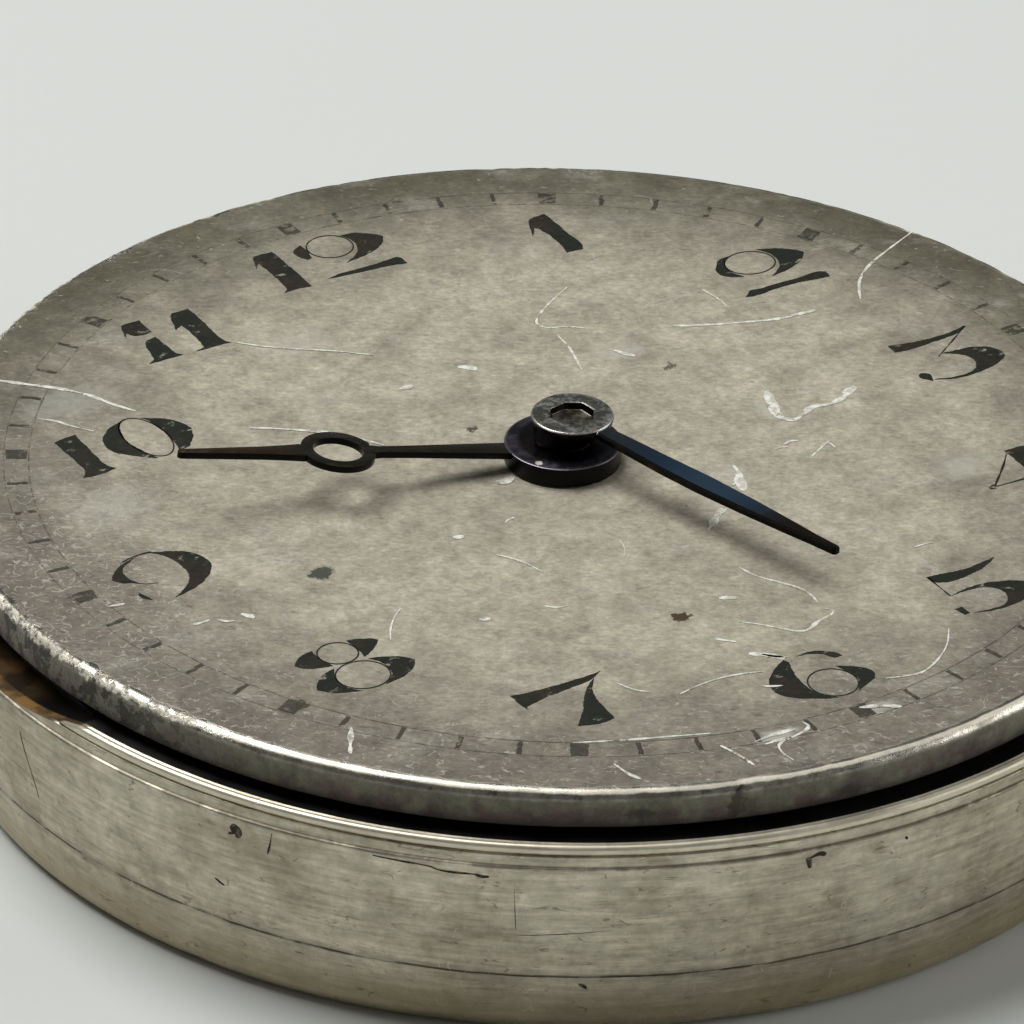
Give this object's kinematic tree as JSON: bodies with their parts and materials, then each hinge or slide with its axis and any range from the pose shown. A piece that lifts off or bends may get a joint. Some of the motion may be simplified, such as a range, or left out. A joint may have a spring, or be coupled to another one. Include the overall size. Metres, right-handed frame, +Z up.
{
  "type": "watch movement",
  "caption": "Small round lever watch movement with silvered dial and blued hands, seated in a plain nickel band with push-on back and side crown.",
  "frame": {"origin": "centre of the back cover's flat underside", "axes": "+Z up through the dial, +X along the stem to the crown, +Y to 12 o'clock"},
  "size_m": [0.0312, 0.0286, 0.0076],
  "materials": {
    "case_nickel": "satin nickel silver, aged, fine turning lines",
    "dial_silver": "silvered metal, tarnished and scratched",
    "gilt_plate": "frosted gilt",
    "gilt_wheel": "polished gilt brass",
    "train_wheel": "gilt brass wheel on a steel pinion",
    "steel": "polished steel",
    "ruby": "polished synthetic ruby",
    "blued_spring": "blued steel",
    "blued_steel": "blued steel, browned at the tip",
    "browned_steel": "blued steel gone brown-black"
  },
  "bodies": {
    "back_cover": {"back_cover": "case_nickel"},
    "housing": {"case_band": "case_nickel", "case_screws": "steel", "main_plate": "gilt_plate", "barrel_bridge": "gilt_plate", "train_bridge": "gilt_plate", "pallet_cock": "gilt_plate", "balance_cock": "gilt_plate", "bridge_screws": "steel", "pallet_cock_screw": "steel", "balance_cock_screw": "steel", "plate_jewels": "ruby", "bridge_jewels": "ruby", "pallet_jewel": "ruby", "balance_jewels": "ruby", "crown_wheel_screw": "steel", "click_screw": "steel", "click_spring": "steel", "hairspring_stud": "steel", "yoke_screw": "steel", "yoke_spring": "steel", "setting_lever_screw": "steel", "setting_lever_spring": "steel", "dial_washer": "gilt_wheel", "dial": "dial_silver", "dial_foot_screws": "steel"},
    "minute_works": {"cannon_pinion": "steel", "minute_hand": "blued_steel"},
    "hour_works": {"hour_wheel": "gilt_wheel", "hour_hand": "browned_steel"},
    "minute_wheel": {"minute_wheel": "gilt_wheel"},
    "setting_wheel": {"setting_wheel": "steel"},
    "barrel": {"barrel": "gilt_wheel", "barrel_cover": "gilt_wheel", "mainspring": "steel"},
    "ratchet": {"ratchet_wheel": "steel", "ratchet_screw": "steel", "barrel_arbor": "steel"},
    "centre_wheel": {"centre_wheel": "train_wheel"},
    "third_wheel": {"third_wheel": "train_wheel"},
    "fourth_wheel": {"fourth_wheel": "train_wheel"},
    "escape_wheel": {"escape_wheel": "steel"},
    "pallets": {"pallet_fork": "steel", "pallet_stones": "ruby"},
    "balance": {"balance_wheel": "gilt_wheel", "balance_staff": "steel", "roller": "ruby", "hairspring": "blued_spring"},
    "winding": {"winding_pinion": "steel"},
    "stem": {"winding_stem": "steel", "crown": "case_nickel"},
    "clutch": {"clutch_wheel": "steel"},
    "crown_wheel": {"crown_wheel": "steel"},
    "setting_lever": {"setting_lever": "steel"},
    "yoke": {"yoke": "steel"},
    "click": {"click": "steel"},
    "regulator": {"regulator": "steel"}
  },
  "joints": [
    {"name": "back_cover_off", "type": "slide", "parent": "back_cover", "child": "housing", "axis": [0, 0, 1], "range_m": [0, 0.008]},
    {"name": "minute_hand_turn", "type": "hinge", "parent": "housing", "child": "minute_works", "pos_m": [0, 0, 0.007], "axis": [0, 0, -1], "range_deg": [-246, 116]},
    {"name": "minute_wheel_turn", "type": "hinge", "parent": "housing", "child": "minute_wheel", "pos_m": [0.0024, 0, 0.0043], "axis": [0, 0, -1], "range_deg": [-38.7, 82.1]},
    {"name": "hour_hand_turn", "type": "hinge", "parent": "housing", "child": "hour_works", "pos_m": [0, 0, 0.0063], "axis": [0, 0, -1], "range_deg": [-20.6, 9.8]},
    {"name": "setting_wheel_turn", "type": "hinge", "parent": "housing", "child": "setting_wheel", "pos_m": [0.0054, 0, 0.0043], "axis": [0, 0, -1], "range_deg": [-123.1, 58.1]},
    {"name": "escape_wheel_turn", "type": "hinge", "parent": "housing", "child": "escape_wheel", "pos_m": [-0.00055, -0.0057, 0.003], "axis": [0, 0, 1], "continuous": true},
    {"name": "fourth_wheel_turn", "type": "hinge", "parent": "housing", "child": "fourth_wheel", "pos_m": [-0.00418, -0.00483, 0.002], "axis": [0, 0, 1], "continuous": true},
    {"name": "third_wheel_turn", "type": "hinge", "parent": "housing", "child": "third_wheel", "pos_m": [-0.00465, -0.00082, 0.003], "axis": [0, 0, 1], "continuous": true},
    {"name": "centre_wheel_turn", "type": "hinge", "parent": "housing", "child": "centre_wheel", "pos_m": [0, 0, 0.0035], "axis": [0, 0, 1], "continuous": true},
    {"name": "barrel_turn", "type": "hinge", "parent": "housing", "child": "barrel", "pos_m": [0.00293, 0.00506, 0.0025], "axis": [0, 0, 1], "continuous": true},
    {"name": "pallet_rock", "type": "hinge", "parent": "housing", "child": "pallets", "pos_m": [0.00199, -0.00548, 0.003], "axis": [0, 0, 1], "range_deg": [-5, 5]},
    {"name": "balance_swing", "type": "hinge", "parent": "housing", "child": "balance", "pos_m": [0.00503, -0.00522, 0.002], "axis": [0, 0, 1], "range_deg": [-270, 270], "stiffness_Nm_per_rad": 0.00000011},
    {"name": "crown_turn", "type": "hinge", "parent": "housing", "child": "winding", "pos_m": [0.00984, 0, 0.0031], "axis": [1, 0, 0], "continuous": true},
    {"name": "crown_pull", "type": "slide", "parent": "winding", "child": "stem", "axis": [1, 0, 0], "range_m": [0, 0.0006]},
    {"name": "clutch_slide", "type": "slide", "parent": "winding", "child": "clutch", "axis": [-1, 0, 0], "range_m": [0, 0.0005]},
    {"name": "setting_lever_turn", "type": "hinge", "parent": "housing", "child": "setting_lever", "pos_m": [0.01089, -0.0039, 0.0045], "axis": [0, 0, -1], "range_deg": [0, 9]},
    {"name": "yoke_turn", "type": "hinge", "parent": "housing", "child": "yoke", "pos_m": [0.00889, -0.0044, 0.0045], "axis": [0, 0, 1], "range_deg": [0, 6.6]},
    {"name": "crown_wheel_turn", "type": "hinge", "parent": "housing", "child": "crown_wheel", "pos_m": [0.0074, 0, 0.001], "axis": [0, 0, 1], "continuous": true},
    {"name": "ratchet_turn", "type": "hinge", "parent": "housing", "child": "ratchet", "pos_m": [0.00293, 0.00506, 0.001], "axis": [0, 0, 1], "continuous": true},
    {"name": "click_lift", "type": "hinge", "parent": "housing", "child": "click", "pos_m": [-0.00245, 0.00525, 0.001], "axis": [0, 0, 1], "range_deg": [0, 10], "stiffness_Nm_per_rad": 0.0000001},
    {"name": "regulator_turn", "type": "hinge", "parent": "housing", "child": "regulator", "pos_m": [0.00503, -0.00522, 0.0007], "axis": [0, 0, 1], "range_deg": [-20, 20]}
  ],
  "couplings": [
    {"joint": "minute_wheel_turn", "follows": "minute_hand_turn", "ratio": -0.33333},
    {"joint": "hour_hand_turn", "follows": "minute_hand_turn", "ratio": 0.083333},
    {"joint": "setting_wheel_turn", "follows": "minute_hand_turn", "ratio": 0.5},
    {"joint": "fourth_wheel_turn", "follows": "escape_wheel_turn", "ratio": -0.1},
    {"joint": "third_wheel_turn", "follows": "escape_wheel_turn", "ratio": 0.013333},
    {"joint": "centre_wheel_turn", "follows": "escape_wheel_turn", "ratio": -0.0016667},
    {"joint": "barrel_turn", "follows": "escape_wheel_turn", "ratio": 0.00020833},
    {"joint": "crown_wheel_turn", "follows": "crown_turn", "ratio": 0.75},
    {"joint": "ratchet_turn", "follows": "crown_turn", "ratio": -0.46154},
    {"joint": "clutch_slide", "follows": "crown_pull", "ratio": 0.83333},
    {"joint": "setting_lever_turn", "follows": "crown_pull", "rad_per_m": 256.41},
    {"joint": "yoke_turn", "follows": "crown_pull", "rad_per_m": 189.39}
  ]
}
